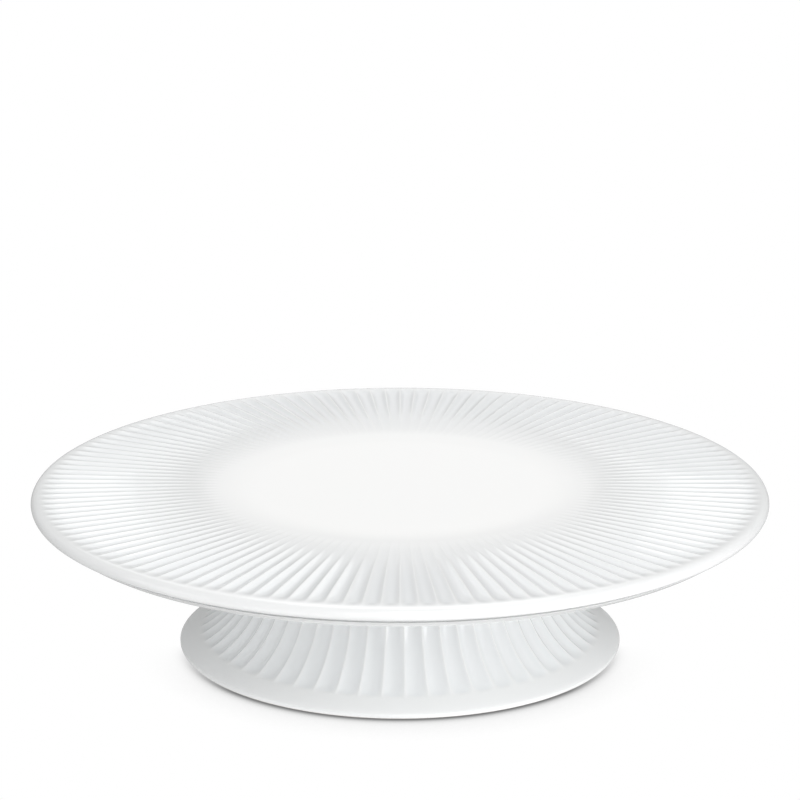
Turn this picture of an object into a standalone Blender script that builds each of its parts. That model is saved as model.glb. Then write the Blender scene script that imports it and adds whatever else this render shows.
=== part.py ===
"""Footed cake stand in glazed porcelain: a flat fluted plate luted to a flared, hollow, fluted foot.

Metres, +Z up. The origin is on the table, under the centre of the plate.
Angles run from -Y (the front) towards +X.
"""

from math import cos, hypot, pi, radians, sin

import bmesh
import bpy

# Overall sizes
PLATE_RADIUS = 0.170
TOP_HEIGHT = 0.0756
FOOT_RADIUS = 0.103
GAP = 0.0003  # clearance left between two pieces that are luted together

# Plate
PLATE_FLUTES = 132
WELL_RADIUS = 0.0770
WELL_DROP = 0.0004  # the well floor lies just under the arrises
FLUTED_TOP = (  # (radius, drop of the arrises below the top, depth of the troughs below the arrises)
    (0.0880, 0.0, 0.00009),
    (0.1060, 0.0, 0.00024),
    (0.1210, 0.0, 0.00057),
    (0.1400, 0.0, 0.00094),
    (0.1560, 0.00007, 0.00100),
    (0.1610, 0.00015, 0.00068),
    (0.1645, 0.00021, 0.00017),
    (0.1676, 0.00062, 0.0),
)
PLATE_WALL = 0.008
RIM_SECTION = (  # (radius, depth below the top), over the rounded lip and into the groove under it
    (0.1690, 0.00138),
    (0.1698, 0.00242),
    (PLATE_RADIUS, 0.00340),
    (0.1697, 0.00460),
    (0.1688, 0.00575),
    (0.1675, 0.00640),
    (0.1655, 0.00645),
    (0.1614, 0.00700),
)
VERGE_SECTION = (  # (radius, depth below the top), from the groove to the flat underside
    (0.1614, 0.00820),
    (0.1649, 0.00815),
    (0.1626, 0.00960),
    (0.1603, 0.01115),
    (0.1575, 0.01145),
    (0.1540, 0.01065),
    (0.1490, 0.00880),
    (0.1430, PLATE_WALL),
)

# Foot
FOOT_FLUTES = 56
FOOT_FLUTE_PHASE = radians(1.36)
FOOT_FLUTE_DEPTH = 0.0016
FLARE_RADIUS = 0.093  # the flutes run out here
FLARE_HEIGHT = 0.0065
NECK_RADIUS = 0.067
NECK_START = 0.060  # the wall is upright above this height
FLARE_HANDLE = (0.079, 0.015)  # these two handles bend the wall from flare to neck
NECK_HANDLE = 0.027
FOOT_WALL = 0.0055
FOOT_EDGE = (  # (radius, height), from the flat foot ring round the edge and up the flare
    (0.1015, 0.0),
    (0.1026, 0.0006),
    (FOOT_RADIUS, 0.0016),
    (0.1024, 0.0027),
    (0.0975, 0.0048),
)
FOOT_RING_INSIDE = (  # (radius, height), from the hollow down to the flat foot ring
    (0.0906, 0.0026),
    (0.0951, 0.0014),
    (0.0965, 0.0),
)
FOOT_STATIONS = (0.0, 0.07, 0.16, 0.3, 0.45, 0.62, 0.8, 1.0)  # places along the flared wall
FULL_DEPTH_AT = 0.16  # the station where the flutes reach their full depth

# Joining slip
SLIP_THICKNESS = 0.001
SLIP_BULGE = 0.0005

UNDERSIDE = TOP_HEIGHT - PLATE_WALL
SLIP_TOP = UNDERSIDE - GAP
SLIP_BOTTOM = SLIP_TOP - SLIP_THICKNESS
FOOT_TOP = SLIP_BOTTOM - GAP


def porcelain(name, colour, roughness):
    material = bpy.data.materials.new(name)
    material.use_nodes = True
    shader = material.node_tree.nodes["Principled BSDF"]
    shader.inputs["Base Color"].default_value = (*colour, 1.0)
    shader.inputs["Roughness"].default_value = roughness
    shader.inputs["Metallic"].default_value = 0.0
    return material


def ring(bm, radius, height, count, phase=0.0, trough=(0.0, 0.0)):
    """One ring of vertices. Every second one is moved by trough, in radius and height."""
    verts = []
    for step in range(count):
        angle = phase + 2 * pi * step / count
        lowered = step % 2
        r = radius + lowered * trough[0]
        z = height + lowered * trough[1]
        verts.append(bm.verts.new((r * sin(angle), -r * cos(angle), z)))
    return verts


def bridge(bm, first, second):
    """Joins two rings. One may have twice as many vertices as the other."""
    if len(first) == len(second):
        count = len(first)
        for i in range(count):
            j = (i + 1) % count
            bm.faces.new((first[i], first[j], second[j], second[i]))
        return
    fine, coarse = (first, second) if len(first) > len(second) else (second, first)
    for i in range(len(coarse)):
        j = (i + 1) % len(coarse)
        left, middle, right = fine[2 * i], fine[2 * i + 1], fine[(2 * i + 2) % len(fine)]
        bm.faces.new((coarse[i], left, middle))
        bm.faces.new((coarse[i], middle, coarse[j]))
        bm.faces.new((coarse[j], middle, right))


def cap(bm, verts, height):
    """Closes a ring with a fan about the axis."""
    centre = bm.verts.new((0.0, 0.0, height))
    for i in range(len(verts)):
        bm.faces.new((centre, verts[i], verts[(i + 1) % len(verts)]))


def finish(bm, name, material):
    bmesh.ops.recalc_face_normals(bm, faces=bm.faces)
    mesh = bpy.data.meshes.new(name)
    bm.to_mesh(mesh)
    bm.free()
    mesh.materials.append(material)
    mesh.shade_smooth()
    mesh.set_sharp_from_angle(angle=radians(35))
    piece = bpy.data.objects.new(name, mesh)
    bpy.context.scene.collection.objects.link(piece)
    return piece


def make_plate():
    bm = bmesh.new()
    well = TOP_HEIGHT - WELL_DROP
    rings = [ring(bm, WELL_RADIUS, well, PLATE_FLUTES)]
    for radius, drop, depth in FLUTED_TOP:
        rings.append(ring(bm, radius, TOP_HEIGHT - drop, 2 * PLATE_FLUTES, trough=(0.0, -depth)))
    for radius, depth in RIM_SECTION + VERGE_SECTION + ((NECK_RADIUS, PLATE_WALL),):
        rings.append(ring(bm, radius, TOP_HEIGHT - depth, PLATE_FLUTES))
    for first, second in zip(rings, rings[1:]):
        bridge(bm, first, second)
    cap(bm, rings[0], well)
    cap(bm, rings[-1], UNDERSIDE)
    return finish(bm, "plate", porcelain("plate_glaze", (0.88, 0.88, 0.87), 0.12))


def flare_curve(t):
    """Outer wall of the foot as a Bezier arc: ((radius, height), inward normal) at t from 0 to 1."""
    points = (
        (FLARE_RADIUS, FLARE_HEIGHT),
        FLARE_HANDLE,
        (NECK_RADIUS, NECK_HANDLE),
        (NECK_RADIUS, NECK_START),
    )
    s = 1 - t
    weights = (s**3, 3 * s * s * t, 3 * s * t * t, t**3)
    slopes = (-3 * s * s, 3 * s * s - 6 * s * t, 6 * s * t - 3 * t * t, 3 * t * t)
    r, z = (sum(w * p[k] for w, p in zip(weights, points)) for k in (0, 1))
    dr, dz = (sum(w * p[k] for w, p in zip(slopes, points)) for k in (0, 1))
    length = hypot(dr, dz)
    return (r, z), (-dz / length, dr / length)


def make_foot():
    bm = bmesh.new()
    fine = 2 * FOOT_FLUTES
    phase = FOOT_FLUTE_PHASE
    rings = []
    # Outer wall, from the table up
    for radius, height in FOOT_EDGE:
        rings.append(ring(bm, radius, height, FOOT_FLUTES, phase))
    for t in FOOT_STATIONS:
        (r, z), (nr, nz) = flare_curve(t)
        depth = FOOT_FLUTE_DEPTH * min(1.0, t / FULL_DEPTH_AT)
        rings.append(ring(bm, r, z, fine, phase, trough=(nr * depth, nz * depth)))
    rings.append(ring(bm, NECK_RADIUS, FOOT_TOP, fine, phase, trough=(-FOOT_FLUTE_DEPTH, 0.0)))
    # Inner wall, from the top down to the foot ring
    rings.append(ring(bm, NECK_RADIUS - FOOT_WALL, FOOT_TOP, FOOT_FLUTES, phase))
    for t in reversed(FOOT_STATIONS[2:]):
        (r, z), (nr, nz) = flare_curve(t)
        rings.append(ring(bm, r + nr * FOOT_WALL, z + nz * FOOT_WALL, FOOT_FLUTES, phase))
    for radius, height in FOOT_RING_INSIDE:
        rings.append(ring(bm, radius, height, FOOT_FLUTES, phase))
    for first, second in zip(rings, rings[1:] + rings[:1]):
        bridge(bm, first, second)
    return finish(bm, "foot", porcelain("foot_glaze", (0.88, 0.88, 0.87), 0.12))


def make_joining_slip():
    """Ring of fired slip between the top of the foot and the underside of the plate."""
    bm = bmesh.new()
    outer = NECK_RADIUS - FOOT_FLUTE_DEPTH
    inner = NECK_RADIUS - FOOT_WALL
    middle = (SLIP_TOP + SLIP_BOTTOM) / 2
    section = (
        (outer, SLIP_BOTTOM),
        (outer + SLIP_BULGE, middle),
        (outer, SLIP_TOP),
        (inner, SLIP_TOP),
        (inner - SLIP_BULGE, middle),
        (inner, SLIP_BOTTOM),
    )
    rings = [ring(bm, radius, height, FOOT_FLUTES) for radius, height in section]
    for first, second in zip(rings, rings[1:] + rings[:1]):
        bridge(bm, first, second)
    return finish(bm, "joining_slip", porcelain("fired_slip", (0.85, 0.84, 0.82), 0.35))


for item in list(bpy.data.objects):
    bpy.data.objects.remove(item, do_unlink=True)

stand = bpy.data.objects.new("cake_stand", None)
bpy.context.scene.collection.objects.link(stand)
for part in (make_plate(), make_foot(), make_joining_slip()):
    part.parent = stand
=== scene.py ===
from math import cos, hypot, pi, radians, sin

import bpy
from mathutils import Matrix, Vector


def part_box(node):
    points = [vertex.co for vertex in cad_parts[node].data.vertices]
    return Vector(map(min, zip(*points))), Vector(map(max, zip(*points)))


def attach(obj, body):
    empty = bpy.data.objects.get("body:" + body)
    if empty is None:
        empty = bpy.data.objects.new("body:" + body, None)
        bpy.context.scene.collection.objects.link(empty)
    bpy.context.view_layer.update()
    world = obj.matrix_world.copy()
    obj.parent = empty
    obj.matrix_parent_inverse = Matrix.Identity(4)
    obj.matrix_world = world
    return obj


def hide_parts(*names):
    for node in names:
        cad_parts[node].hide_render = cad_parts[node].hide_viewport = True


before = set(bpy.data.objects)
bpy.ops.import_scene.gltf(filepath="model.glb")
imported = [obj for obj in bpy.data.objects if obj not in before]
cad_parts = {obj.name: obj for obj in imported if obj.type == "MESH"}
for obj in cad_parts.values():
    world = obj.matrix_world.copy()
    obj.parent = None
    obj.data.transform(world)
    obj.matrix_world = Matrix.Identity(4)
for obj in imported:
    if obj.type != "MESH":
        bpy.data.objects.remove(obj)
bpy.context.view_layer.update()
print("frame loaded:", sorted(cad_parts))

# Footed cake stand in white glazed porcelain.
# Lengths in the dictionaries are in millimetres where no other unit is noted
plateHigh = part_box("plate")[1]
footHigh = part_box("foot")[1]
slipLow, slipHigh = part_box("joining_slip")
plateRadius = plateHigh.x
topHeight = plateHigh.z
mm = 0.001
mmPerMetre = 1000


# Small tools

def addNode(tree, kind, values=None, **settings):
    # values go to the node's sockets: a node or an output is linked, and anything else is a constant
    new = tree.nodes.new(kind)
    for name, value in settings.items():
        setattr(new, name, value)
    for key, value in (values or {}).items():
        if isinstance(value, bpy.types.Node):
            value = value.outputs[0]
        if isinstance(value, bpy.types.NodeSocket):
            tree.links.new(value, new.inputs[key])
        else:
            new.inputs[key].default_value = value
    return new


def linear(hexColour):
    # sRGB hex to the linear RGBA that shaders use
    parts = [int(hexColour[i:i + 2], 16) / 255 for i in (1, 3, 5)]
    return [p / 12.92 if p <= 0.04045 else ((p + 0.055) / 1.055) ** 2.4 for p in parts] + [1.0]


def between(a, b, c, d, t):
    # Catmull-Rom value at t on the way from b to c
    return 0.5 * (
        2 * b + (c - a) * t
        + (2 * a - 5 * b + 4 * c - d) * t**2
        + (3 * b - a - 3 * c + d) * t**3
    )


def curveThrough(points, steps):
    # smooth run through the points, with mirrored ends
    first = [2 * a - b for a, b in zip(points[0], points[1])]
    last = [2 * a - b for a, b in zip(points[-1], points[-2])]
    knots = [first, *points, last]
    run = []
    for i in range(1, len(knots) - 2):
        for step in range(steps):
            run.append([between(*four, step / steps) for four in zip(*knots[i - 1:i + 3])])
    run.append(list(points[-1]))
    return run


# The turning tree

weldDistance = 2e-6  # metres
arrisNudge = 1e-5  # keeps rounding from putting an arris on the far side of its flute

# What the tree works out, in order: a name, the sum, and its terms, which are names or numbers
turningSums = (
    # place counts the flutes round the ring, and the stations crowd towards each arris
    ("count", "MULTIPLY", "Flutes", "Steps per flute"),
    ("evenPlace", "DIVIDE", "index", "Steps per flute"),
    ("turn", "MULTIPLY", "evenPlace", 2 * pi),
    ("wave", "SINE", "turn"),
    ("reach", "DIVIDE", "Crowding", 2 * pi),
    ("pull", "MULTIPLY", "wave", "reach"),
    ("place", "SUBTRACT", "evenPlace", "pull"),
    ("share", "DIVIDE", "place", "Flutes"),
    ("swept", "MULTIPLY", "share", 2 * pi),
    ("angle", "ADD", "swept", "First arris"),
    # hollow is 0 on an arris and 1 in a trough, with a parabola between and the arris rounded off
    ("nudged", "ADD", "place", arrisNudge),
    ("across", "FRACT", "nudged"),
    ("rest", "SUBTRACT", 1.0, "across"),
    ("arch", "MULTIPLY", "across", "rest"),
    ("parabola", "MULTIPLY", "arch", 4.0),
    ("softSquare", "MULTIPLY", "Arris softness", "Arris softness"),
    ("square", "MULTIPLY_ADD", "parabola", "parabola", "softSquare"),
    ("root", "SQRT", "square"),
    ("rounded", "SUBTRACT", "root", "Arris softness"),
    ("fullSquare", "ADD", "softSquare", 1.0),
    ("fullRoot", "SQRT", "fullSquare"),
    ("fullDepth", "SUBTRACT", "fullRoot", "Arris softness"),
    ("hollow", "DIVIDE", "rounded", "fullDepth"),
    # where each point goes: the angle runs from -Y, the front, towards +X
    ("radius", "MULTIPLY_ADD", "kept hollow", "kept cutRadius", "kept ringRadius"),
    ("height", "MULTIPLY_ADD", "kept hollow", "kept cutHeight", "kept ringHeight"),
    ("sine", "SINE", "kept angle"),
    ("x", "MULTIPLY", "radius", "sine"),
    ("cosine", "COSINE", "kept angle"),
    ("frontward", "MULTIPLY", "cosine", -1.0),
    ("y", "MULTIPLY", "radius", "frontward"),
    # how deep under the arrises it lies, in millimetres, for the glaze's pooled colour and painted trough
    # shade
    ("reached", "MULTIPLY", "cut", "kept hollow"),
    ("troughDepth", "MULTIPLY", "reached", mmPerMetre),
)
sectionColumns = ("ringRadius", "ringHeight", "cutRadius", "cutHeight")


def buildTurnTree():
    # Spins a section about Z and cuts even concave flutes into it. The section's points carry ringRadius
    # and ringHeight, and cutRadius and cutHeight, which say how far a trough moves them
    tree = bpy.data.node_groups.new("turnAndFlute", "GeometryNodeTree")
    face = tree.interface
    face.new_socket("Section", in_out="INPUT", socket_type="NodeSocketGeometry")
    for name, kind, value in (
        ("Flutes", "NodeSocketInt", 12),
        ("Steps per flute", "NodeSocketInt", 10),
        ("First arris", "NodeSocketFloat", 0.0),
        ("Arris softness", "NodeSocketFloat", 0.1),
        ("Crowding", "NodeSocketFloat", 0.5),
        ("Flip", "NodeSocketBool", False),
        ("Material", "NodeSocketMaterial", None),
    ):
        socket = face.new_socket(name, in_out="INPUT", socket_type=kind)
        if value is not None:
            socket.default_value = value
    face.new_socket("Piece", in_out="OUTPUT", socket_type="NodeSocketGeometry")
    given = addNode(tree, "NodeGroupInput").outputs

    known = {socket.name: socket for socket in given if socket.name}
    known["index"] = addNode(tree, "GeometryNodeInputIndex")
    for name in ("angle", "hollow", *sectionColumns):
        known["kept " + name] = addNode(
            tree, "GeometryNodeInputNamedAttribute", {"Name": name}, data_type="FLOAT",
        )
    cut = addNode(tree, "ShaderNodeCombineXYZ", {"X": known["kept cutRadius"], "Y": known["kept cutHeight"]})
    known["cut"] = addNode(tree, "ShaderNodeVectorMath", {0: cut}, operation="LENGTH").outputs["Value"]
    for name, operation, *terms in turningSums:
        values = {slot: known.get(term, term) for slot, term in enumerate(terms)}
        known[name] = addNode(tree, "ShaderNodeMath", values, operation=operation)

    stations = addNode(
        tree, "GeometryNodeCurvePrimitiveCircle", {"Resolution": known["count"], "Radius": 1.0},
    )
    for name in ("angle", "hollow"):
        stations = addNode(
            tree, "GeometryNodeStoreNamedAttribute",
            {"Geometry": stations, "Name": name, "Value": known[name]},
            data_type="FLOAT", domain="POINT",
        )
    section = addNode(tree, "GeometryNodeMeshToCurve", {"Mesh": given["Section"]})
    skin = addNode(tree, "GeometryNodeCurveToMesh", {"Curve": stations, "Profile Curve": section})
    point = addNode(tree, "ShaderNodeCombineXYZ", {"X": known["x"], "Y": known["y"], "Z": known["height"]})
    skin = addNode(tree, "GeometryNodeSetPosition", {"Geometry": skin, "Position": point})
    skin = addNode(
        tree, "GeometryNodeStoreNamedAttribute",
        {"Geometry": skin, "Name": "troughDepth", "Value": known["troughDepth"]},
        data_type="FLOAT", domain="POINT",
    )
    skin = addNode(tree, "GeometryNodeMergeByDistance", {"Geometry": skin, "Distance": weldDistance})
    flipped = addNode(tree, "GeometryNodeFlipFaces", {"Mesh": skin})
    skin = addNode(
        tree, "GeometryNodeSwitch", {"Switch": given["Flip"], "False": skin, "True": flipped},
        input_type="GEOMETRY",
    )
    skin = addNode(tree, "GeometryNodeSetShadeSmooth", {"Geometry": skin})
    skin = addNode(tree, "GeometryNodeRealizeInstances", {"Geometry": skin})
    skin = addNode(tree, "GeometryNodeSetMaterial", {"Geometry": skin, "Material": given["Material"]})
    addNode(tree, "NodeGroupOutput", {"Piece": skin})
    return tree


turnTree = buildTurnTree()


def turnPiece(name, section, closed, inputs):
    # section: list of (radius, height, cutRadius, cutHeight) in metres
    mesh = bpy.data.meshes.new(name + "Section")
    edges = [(i, i + 1) for i in range(len(section) - 1)]
    if closed:
        edges.append((len(section) - 1, 0))
    mesh.from_pydata([(r, 0.0, z) for r, z, _, _ in section], edges, [])
    for column, attribute in enumerate(sectionColumns):
        layer = mesh.attributes.new(attribute, "FLOAT", "POINT")
        layer.data.foreach_set("value", [row[column] for row in section])
    maker = bpy.data.objects.new(name + "Section", mesh)
    bpy.context.scene.collection.objects.link(maker)
    modifier = maker.modifiers.new("turnAndFlute", "NODES")
    modifier.node_group = turnTree
    for item in turnTree.interface.items_tree:
        if item.in_out == "INPUT" and item.name in inputs:
            modifier[item.identifier] = inputs[item.name]
    bpy.context.view_layer.update()
    graph = bpy.context.evaluated_depsgraph_get()
    final = bpy.data.meshes.new_from_object(maker.evaluated_get(graph), depsgraph=graph)
    maker.modifiers.remove(modifier)
    bpy.data.objects.remove(maker)
    bpy.data.meshes.remove(mesh)
    for attribute in ("angle", "hollow", *sectionColumns):
        final.attributes.remove(final.attributes[attribute])
    final.name = name
    piece = bpy.data.objects.new(name, final)
    bpy.context.scene.collection.objects.link(piece)
    print(f"{name}: {len(final.polygons)} faces")
    return piece


# Materials

def newMaterial(name):
    material = bpy.data.materials.new(name)
    material.use_nodes = True
    material.node_tree.nodes.clear()
    return material


glazeValues = {
    "white": "#FCFCFB",  # hard-paste porcelain fired white, under the thin glaze of the flat well
    "fluted": "#ECEDED",  # greyer over the flutes: partly thicker glaze, partly painted shade of the fluted zone
    "troughPoolShade": "#E9EBEC",  # darker still in the troughs: partly pooled glaze, partly painted shade in the hollows
    "wellEdge": (64.0, 104.0),  # the whiter well gives way to the greyer flute colour, with its painted shade, between these radii
    "fullTrough": 1.0,  # trough depth at which the pooled glaze and painted shade reach full strength
    "roughness": 0.10,
    "ior": 1.52,
    "waveLength": 14.0,  # slow waves left where the glaze ran in the kiln
    "waveDepth": 0.010,
    "orangePeel": 1.1,  # fine dimpling of the fired glaze
    "orangePeelDepth": 0.0008,
    "speck": "#C9C4BA",  # rare iron specks
    "speckSize": 0.35,
    "speckSpacing": 11.11,  # between places that could hold one
    "speckShare": 0.015,  # share of those places that do
    "bare": "#E9E4DA",  # bare biscuit on the foot ring
    "bareTop": 0.7,  # height of the glaze's lower edge
    "bareStart": 0.6,  # share of that height where the edge begins to fade in
    "bareRoughness": 0.62,
}


def makeGlaze(name, values, whiterWell, bareRing):
    # Hard-paste porcelain under a clear glaze: a clean cool white with a soft even shine, and a matt bare
    # ring where the piece stood in the kiln.
    # Greyer over the flutes and darker still in the troughs, partly thicker glaze and partly painted shade
    material = newMaterial(name)
    tree = material.node_tree
    place = addNode(tree, "ShaderNodeTexCoord").outputs["Object"]
    trough = addNode(tree, "ShaderNodeAttribute", attribute_name="troughDepth").outputs["Fac"]
    waves = addNode(tree, "ShaderNodeTexNoise", {
        "Vector": place, "Scale": mmPerMetre / values["waveLength"], "Detail": 1.0, "Roughness": 0.4,
    }).outputs["Fac"]
    peel = addNode(tree, "ShaderNodeTexNoise", {
        "Vector": place, "Scale": mmPerMetre / values["orangePeel"], "Detail": 1.0,
    }).outputs["Fac"]

    # painted shade: deeper troughs get a darker colour, part glaze pool and part shade of the hollows laid
    # into the colour
    poolShade = addNode(tree, "ShaderNodeMapRange", {"Value": trough, "From Max": values["fullTrough"]})
    poolShade = addNode(
        tree, "ShaderNodeMath", {0: poolShade, 1: waves, 2: poolShade}, operation="MULTIPLY_ADD", use_clamp=True,
    )
    body = addNode(tree, "ShaderNodeMix", {
        0: poolShade, 6: linear(values["fluted"]), 7: linear(values["troughPoolShade"]),
    }, data_type="RGBA").outputs[2]
    if whiterWell:
        flat = addNode(tree, "ShaderNodeVectorMath", {0: place, 1: (1.0, 1.0, 0.0)}, operation="MULTIPLY")
        radius = addNode(tree, "ShaderNodeVectorMath", {0: flat}, operation="LENGTH").outputs["Value"]
        inner, outer = values["wellEdge"]
        # painted shade: the colour greys from the whiter well out into the flute zone, partly thicker glaze
        # and partly shade laid into the colour
        flutedShadeShare = addNode(tree, "ShaderNodeMapRange", {
            "Value": radius, "From Min": inner * mm, "From Max": outer * mm,
        }, interpolation_type="SMOOTHSTEP")
        body = addNode(tree, "ShaderNodeMix", {
            0: flutedShadeShare, 6: linear(values["white"]), 7: body,
        }, data_type="RGBA").outputs[2]

    cells = addNode(tree, "ShaderNodeTexVoronoi", {
        "Vector": place, "Scale": mmPerMetre / values["speckSpacing"],
    }).outputs
    held = addNode(
        tree, "ShaderNodeMath", {0: cells["Color"], 1: 1 - values["speckShare"]}, operation="GREATER_THAN",
    )
    inside = addNode(tree, "ShaderNodeMath", {
        0: cells["Distance"], 1: values["speckSize"] / 2 / values["speckSpacing"],
    }, operation="LESS_THAN")
    speck = addNode(tree, "ShaderNodeMath", {0: held, 1: inside}, operation="MULTIPLY")
    body = addNode(tree, "ShaderNodeMix", {
        0: speck, 6: body, 7: linear(values["speck"]),
    }, data_type="RGBA").outputs[2]

    relief = addNode(tree, "ShaderNodeMath", {
        0: peel, 1: values["orangePeelDepth"] / values["waveDepth"], 2: waves,
    }, operation="MULTIPLY_ADD")
    bump = addNode(tree, "ShaderNodeBump", {
        "Height": relief, "Strength": 1.0, "Distance": values["waveDepth"] * mm,
    })
    shine = {"Normal": bump, "IOR": values["ior"], "Roughness": values["roughness"]}
    if bareRing:
        height = addNode(tree, "ShaderNodeSeparateXYZ", {0: place}).outputs["Z"]
        top = values["bareTop"] * mm
        bare = addNode(tree, "ShaderNodeMapRange", {
            "Value": height, "From Min": top * values["bareStart"], "From Max": top,
            "To Min": 1.0, "To Max": 0.0,
        })
        body = addNode(tree, "ShaderNodeMix", {
            0: bare, 6: body, 7: linear(values["bare"]),
        }, data_type="RGBA").outputs[2]
        shine["Roughness"] = addNode(tree, "ShaderNodeMapRange", {
            "Value": bare, "To Min": values["roughness"], "To Max": values["bareRoughness"],
        })
    shader = addNode(tree, "ShaderNodeBsdfPrincipled", {"Base Color": body, **shine})
    addNode(tree, "ShaderNodeOutputMaterial", {"Surface": shader})
    return material


slipValues = {
    "clay": "#EFECE6",
    "grain": "#E2DED6",
    "grainSize": 0.8,
    "grainDepth": 0.02,
    "roughness": 0.55,
    "ior": 1.5,
}


def makeFiredSlip(name, values):
    # Porcelain slip brushed into the joint and fired with it: a duller, faintly grainy off-white
    material = newMaterial(name)
    tree = material.node_tree
    place = addNode(tree, "ShaderNodeTexCoord").outputs["Object"]
    grain = addNode(tree, "ShaderNodeTexNoise", {
        "Vector": place, "Scale": mmPerMetre / values["grainSize"], "Detail": 3.0,
    }).outputs["Fac"]
    body = addNode(tree, "ShaderNodeMix", {
        0: grain, 6: linear(values["clay"]), 7: linear(values["grain"]),
    }, data_type="RGBA").outputs[2]
    bump = addNode(tree, "ShaderNodeBump", {
        "Height": grain, "Strength": 1.0, "Distance": values["grainDepth"] * mm,
    })
    shader = addNode(tree, "ShaderNodeBsdfPrincipled", {
        "Base Color": body, "Normal": bump, "IOR": values["ior"], "Roughness": values["roughness"],
    })
    addNode(tree, "ShaderNodeOutputMaterial", {"Surface": shader})
    return material


plateGlaze = makeGlaze("glazedPorcelainPlate", glazeValues, whiterWell=True, bareRing=False)
footGlaze = makeGlaze("glazedPorcelainFoot", glazeValues, whiterWell=False, bareRing=True)
firedSlip = makeFiredSlip("firedPorcelainSlip", slipValues)
print("materials:", plateGlaze.name, footGlaze.name, firedSlip.name)


# Plate

plateValues = {
    "flutes": 132,
    "stepsPerFlute": 10,
    "fluteDepth": 1.0,
    "arrisSoftness": 0.10,
    "crowding": 0.4,
    "wellDrop": 0.4,  # the well lies this far under the arrises
    "wellEdge": (74.0, 90.0),  # and rises to them between these radii
    "arrisFall": (145.0, 160.0, 0.12),  # past the first radius the arrises fall: by this much at the second
    "lowestFlute": 1.2,  # flutes are cut only in the part of the section above this drop
    "curveSteps": 2,
    "wall": 8.0,
}

# radii of the rings across the top, closer together where the flutes run in
topRings = [
    0, 40, 64, 72, 76, 80, 82, 84, 86, 88, 90, 94, 98, 102, 106, 110, 114, 118,
    122, 127, 132, 137, 142, 147, 152, 156,
]
undersideRings = [66.0, 0.0]

# share of the full flute depth along the radius
fluteRun = [
    (84.0, 0.0), (90.0, 0.09), (98.0, 0.13), (106.0, 0.24), (114.0, 0.40), (121.0, 0.57), (130.0, 0.75),
    (140.0, 0.94), (148.0, 1.0), (155.0, 1.0), (158.5, 0.90), (161.0, 0.68), (163.5, 0.32), (165.0, 0.12),
    (166.3, 0.0),
]

# radius and drop below the top face: over the rounded lip, into the groove under it and over the verge
rimRun = [
    (160.0, 0.12), (164.0, 0.14), (166.6, 0.24), (168.1, 0.62), (169.15, 1.35), (169.8, 2.4),
    (170.0, 3.4), (169.7, 4.5), (169.0, 5.5), (167.9, 6.2), (166.7, 6.5), (165.5, 6.45),
]
grooveRun = [(163.6, 6.55), (161.9, 6.8), (161.4, 7.2), (161.4, 7.9), (161.9, 8.25), (163.6, 8.15)]
vergeRun = [
    (164.9, 8.1), (164.3, 8.6), (162.4, 9.9), (161.0, 10.8), (160.1, 11.25), (158.6, 11.42),
    (156.5, 11.33), (153.0, 10.3), (148.5, 8.65), (143.0, 8.0),
]


def smoothStep(t):
    t = min(1.0, max(0.0, t))
    return t * t * (3 - 2 * t)


def lookUp(table, x):
    # straight lines between the entries, and 0 outside them
    for (x0, y0), (x1, y1) in zip(table, table[1:]):
        if x0 < x <= x1:
            return y0 + (y1 - y0) * (x - x0) / (x1 - x0)
    return 0.0


def topDrop(radius, values):
    low, high = values["wellEdge"]
    drop = values["wellDrop"] * (1 - smoothStep((radius - low) / (high - low)))
    start, end, fall = values["arrisFall"]
    if radius > start:
        drop += fall * ((radius - start) / (end - start)) ** 2
    return drop


def makePlateSection(values):
    rows = [(radius, topDrop(radius, values)) for radius in topRings]
    rows += curveThrough(rimRun, values["curveSteps"])
    rows += grooveRun
    rows += curveThrough(vergeRun, values["curveSteps"])
    rows += [(radius, values["wall"]) for radius in undersideRings]
    section = []
    for radius, drop in rows:
        cut = values["fluteDepth"] * lookUp(fluteRun, radius) if drop < values["lowestFlute"] else 0.0
        section.append((radius * mm, topHeight - drop * mm, 0.0, -cut * mm))
    return section


plate = turnPiece("flutedPlate", makePlateSection(plateValues), closed=False, inputs={
    "Flutes": plateValues["flutes"],
    "Steps per flute": plateValues["stepsPerFlute"],
    "First arris": 0.0,
    "Arris softness": plateValues["arrisSoftness"],
    "Crowding": plateValues["crowding"],
    "Flip": False,
    "Material": plateGlaze,
})
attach(plate, "root")
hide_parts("plate")


# Foot

footValues = {
    "flutes": 56,
    "stepsPerFlute": 12,
    "firstArris": 1.36,  # degrees from the front
    "fluteDepth": 1.6,
    "fluteRunIn": 0.18,  # share of the wall's curve over which the flutes come in
    "runInPower": 0.6,
    "arrisSoftness": 0.05,
    "crowding": 0.5,
    # radius and height
    "wallCurve": [(93.0, 6.5), (79.0, 15.0), (67.0, 27.0), (67.0, 60.0)],
    "edge": [(101.5, 0.0), (102.6, 0.55), (102.97, 1.6), (102.3, 2.75), (97.5, 4.8), (93.0, 6.5)],
    "ringInside": [(90.6, 2.6), (95.1, 1.4), (96.5, 0.0)],
    "wall": 5.5,
    "edgeSteps": 4,
    "wallSteps": 28,
    "insideSteps": 10,
    "insideReach": 0.84,  # share of the wall's curve that the inside follows down from the top
    "insideCurveSteps": 2,
}


def flarePoint(t, points):
    # point and inward normal of the flared wall, a Bezier arc, in millimetres
    s = 1 - t
    weights = (s**3, 3 * s * s * t, 3 * s * t * t, t**3)
    slopes = (-3 * s * s, 3 * s * s - 6 * s * t, 6 * s * t - 3 * t * t, 3 * t * t)
    r, z = (sum(w * p[k] for w, p in zip(weights, points)) for k in (0, 1))
    dr, dz = (sum(w * p[k] for w, p in zip(slopes, points)) for k in (0, 1))
    length = hypot(dr, dz)
    return (r, z), (-dz / length, dr / length)


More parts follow.
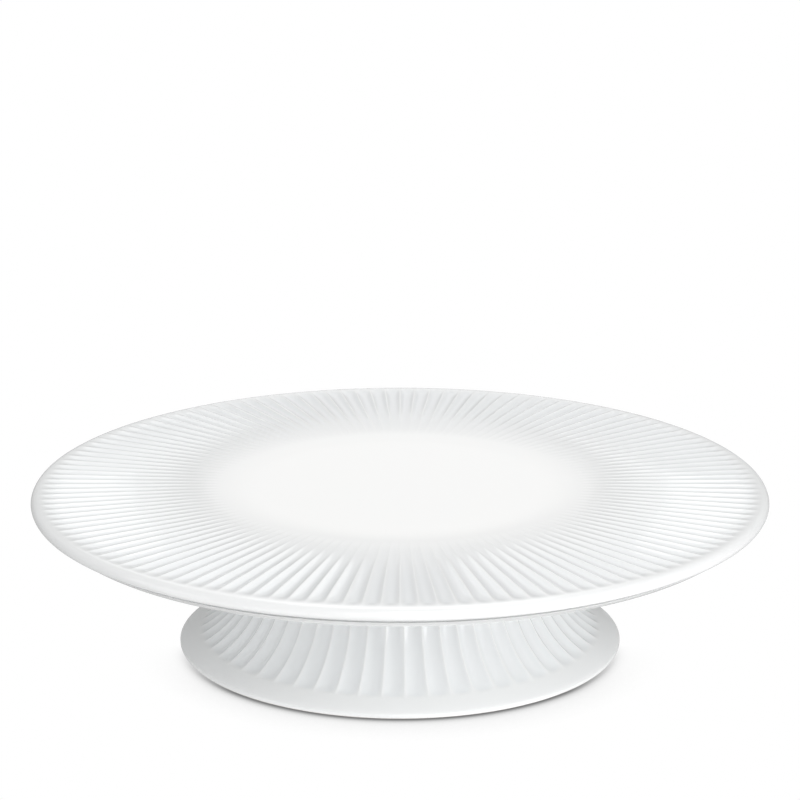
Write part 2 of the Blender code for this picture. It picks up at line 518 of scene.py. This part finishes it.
def makeFootSection(values):
    depth = values["fluteDepth"]
    rows = [(r, z, 0.0, 0.0) for r, z in curveThrough(values["edge"], values["edgeSteps"])[:-1]]
    for step in range(values["wallSteps"] + 1):
        t = step / values["wallSteps"]
        (r, z), (nr, nz) = flarePoint(t, values["wallCurve"])
        cut = depth * sin(min(1.0, t / values["fluteRunIn"]) * pi / 2) ** values["runInPower"]
        rows.append((r, z, nr * cut, nz * cut))
    neck = values["wallCurve"][-1][0]
    top = footHigh.z / mm
    rows.append((neck, top, -depth, 0.0))
    rows.append((neck - values["wall"], top, 0.0, 0.0))
    inside = []
    for step in range(values["insideSteps"]):
        t = 1 - step / values["insideSteps"] * values["insideReach"]
        (r, z), (nr, nz) = flarePoint(t, values["wallCurve"])
        inside.append((r + nr * values["wall"], z + nz * values["wall"]))
    inside += values["ringInside"]
    rows += [(r, z, 0.0, 0.0) for r, z in curveThrough(inside, values["insideCurveSteps"])]
    return [tuple(v * mm for v in row) for row in rows]


foot = turnPiece("flaredFoot", makeFootSection(footValues), closed=True, inputs={
    "Flutes": footValues["flutes"],
    "Steps per flute": footValues["stepsPerFlute"],
    "First arris": radians(footValues["firstArris"]),
    "Arris softness": footValues["arrisSoftness"],
    "Crowding": footValues["crowding"],
    "Flip": True,
    "Material": footGlaze,
})
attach(foot, "root")
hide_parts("foot")


# Joining slip

jointValues = {
    "bulge": 0.5,
    "inner": 61.5,
    "sides": 24,  # it has no flutes, so these two only set how round it is
    "stepsPerSide": 8,
    "arcSteps": 8,  # steps over the bulge on either face
}


def makeSlipSection(values):
    low, high = slipLow.z / mm, slipHigh.z / mm
    middle, half = (low + high) / 2, (high - low) / 2
    outer = slipHigh.x / mm - values["bulge"]
    rows = []
    for radius, start in ((outer, -90), (values["inner"], 90)):
        for step in range(values["arcSteps"] + 1):
            a = radians(start + step * 180 / values["arcSteps"])
            rows.append((radius + values["bulge"] * cos(a), middle + half * sin(a)))
    return [(r * mm, z * mm, 0.0, 0.0) for r, z in rows]


slip = turnPiece("lutingSlip", makeSlipSection(jointValues), closed=True, inputs={
    "Flutes": jointValues["sides"],
    "Steps per flute": jointValues["stepsPerSide"],
    "First arris": 0.0,
    "Crowding": 0.0,
    "Flip": True,
    "Material": firedSlip,
})
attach(slip, "root")
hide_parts("joining_slip")


# Stage

stageValues = {
    "floor": "#FFFFFF",
    "half": 8.0,  # metres from the middle of the floor to its sides
    "drop": 0.1,  # the floor lies this far under the foot
    "contact": 24.0,  # reach of the contact shadow
    "shadowSamples": 16,
    "shadowFalloff": 3.5,
    "shadowFloor": 0.2,  # brightness in the darkest part of the shadow
    "shadowRun": (10.0, 70.0),  # it comes in between these distances in front of the axis
    "surround": 0.44,  # radiance of the white surroundings
}


def makeFloor(values):
    # A light table that only the camera sees, so it throws no light up at the stand
    half = values["half"]
    z = -values["drop"] * mm
    mesh = bpy.data.meshes.new("studioFloor")
    corners = [(-half, -half, z), (half, -half, z), (half, half, z), (-half, half, z)]
    mesh.from_pydata(corners, [], [(0, 1, 2, 3)])
    floor = bpy.data.objects.new("studioFloor", mesh)
    bpy.context.scene.collection.objects.link(floor)
    material = newMaterial("lightTable")
    tree = material.node_tree
    shade = addNode(
        tree, "ShaderNodeAmbientOcclusion", {"Distance": values["contact"] * mm},
        samples=values["shadowSamples"],
    ).outputs["AO"]
    dark = addNode(tree, "ShaderNodeMath", {0: shade, 1: values["shadowFalloff"]}, operation="POWER")
    dark = addNode(tree, "ShaderNodeMapRange", {"Value": dark, "To Min": values["shadowFloor"]})
    place = addNode(tree, "ShaderNodeTexCoord").outputs["Object"]
    depth = addNode(tree, "ShaderNodeSeparateXYZ", {0: place}).outputs["Y"]
    start, end = (-distance * mm for distance in values["shadowRun"])
    front = addNode(tree, "ShaderNodeMapRange", {"Value": depth, "From Min": start, "From Max": end})
    lit = addNode(tree, "ShaderNodeMapRange", {"Value": front, "To Min": 1.0, "To Max": dark})
    glow = addNode(tree, "ShaderNodeEmission", {"Color": linear(values["floor"]), "Strength": lit})
    addNode(tree, "ShaderNodeOutputMaterial", {"Surface": glow})
    mesh.materials.append(material)
    floor.visible_diffuse = False
    floor.visible_glossy = False
    floor.visible_transmission = False
    floor.visible_shadow = False


def makeSurroundings(values):
    world = bpy.data.worlds.new("studio")
    bpy.context.scene.world = world
    world.use_nodes = True
    background = world.node_tree.nodes["Background"]
    background.inputs["Color"].default_value = (1.0, 1.0, 1.0, 1.0)
    background.inputs["Strength"].default_value = values["surround"]


makeFloor(stageValues)
makeSurroundings(stageValues)
print("stage: floor and surroundings")


# Camera

cameraValues = {
    "pivotHeight": 73.36,
    "distance": 8.0,  # in plate radii
    "elevation": 17.53,  # degrees above the pivot
    "pitch": 15.80,  # degrees down
    "lens": 131.96,
    "sensor": 36.0,
    "reach": 50.0,  # metres
}


def makeCamera(values):
    data = bpy.data.cameras.new("camera")
    data.lens = values["lens"]
    data.sensor_width = values["sensor"]
    data.clip_end = values["reach"]
    camera = bpy.data.objects.new("camera", data)
    bpy.context.scene.collection.objects.link(camera)
    far = values["distance"] * plateRadius
    rise = radians(values["elevation"])
    camera.location = (0.0, -far * cos(rise), values["pivotHeight"] * mm + far * sin(rise))
    camera.rotation_euler = (radians(90 - values["pitch"]), 0.0, 0.0)
    bpy.context.scene.camera = camera


makeCamera(cameraValues)
bpy.context.scene.view_settings.view_transform = "Standard"
print("camera ready")


# Lights

rigCentre = Vector((0.0, 0.0, 0.05))  # metres: the middle of the stand, where every softbox points

# Each softbox: degrees from the front towards +X, degrees up, metres away, metres across, radiance
softboxValues = {
    "key": (14.0, 38.0, 1.6, 0.8, 4.1),
    "top": (180.0, 68.0, 1.6, 0.8, 2.4),
    "frontLow": (0.0, 10.0, 1.6, 0.8, 2.7),
    "rightLow": (65.0, 8.0, 1.6, 0.8, 3.6),
    "leftLow": (-70.0, 12.0, 1.6, 0.8, 1.3),
    "nearBack": (185.0, 52.0, 0.6, 0.5, 0.95),
    "backPanel": (180.0, 16.0, 1.6, 0.4, 0.3),
    "fromBelow": (60.0, -50.0, 1.2, 1.4, 1.2),
    "fromBelowLeft": (-50.0, -40.0, 1.2, 1.2, 0.7),
}


def addSoftbox(name, azimuth, elevation, distance, across, radiance):
    data = bpy.data.lights.new(name, "AREA")
    data.size = across
    data.energy = radiance * pi * across**2
    lamp = bpy.data.objects.new(name, data)
    bpy.context.scene.collection.objects.link(lamp)
    turn, rise = radians(azimuth), radians(elevation)
    away = Vector((sin(turn) * cos(rise), -cos(turn) * cos(rise), sin(rise)))
    lamp.location = rigCentre + away * distance
    lamp.rotation_euler = away.to_track_quat("Z", "Y").to_euler()


for name, values in softboxValues.items():
    addSoftbox(name, *values)
print("lights:", len(softboxValues))
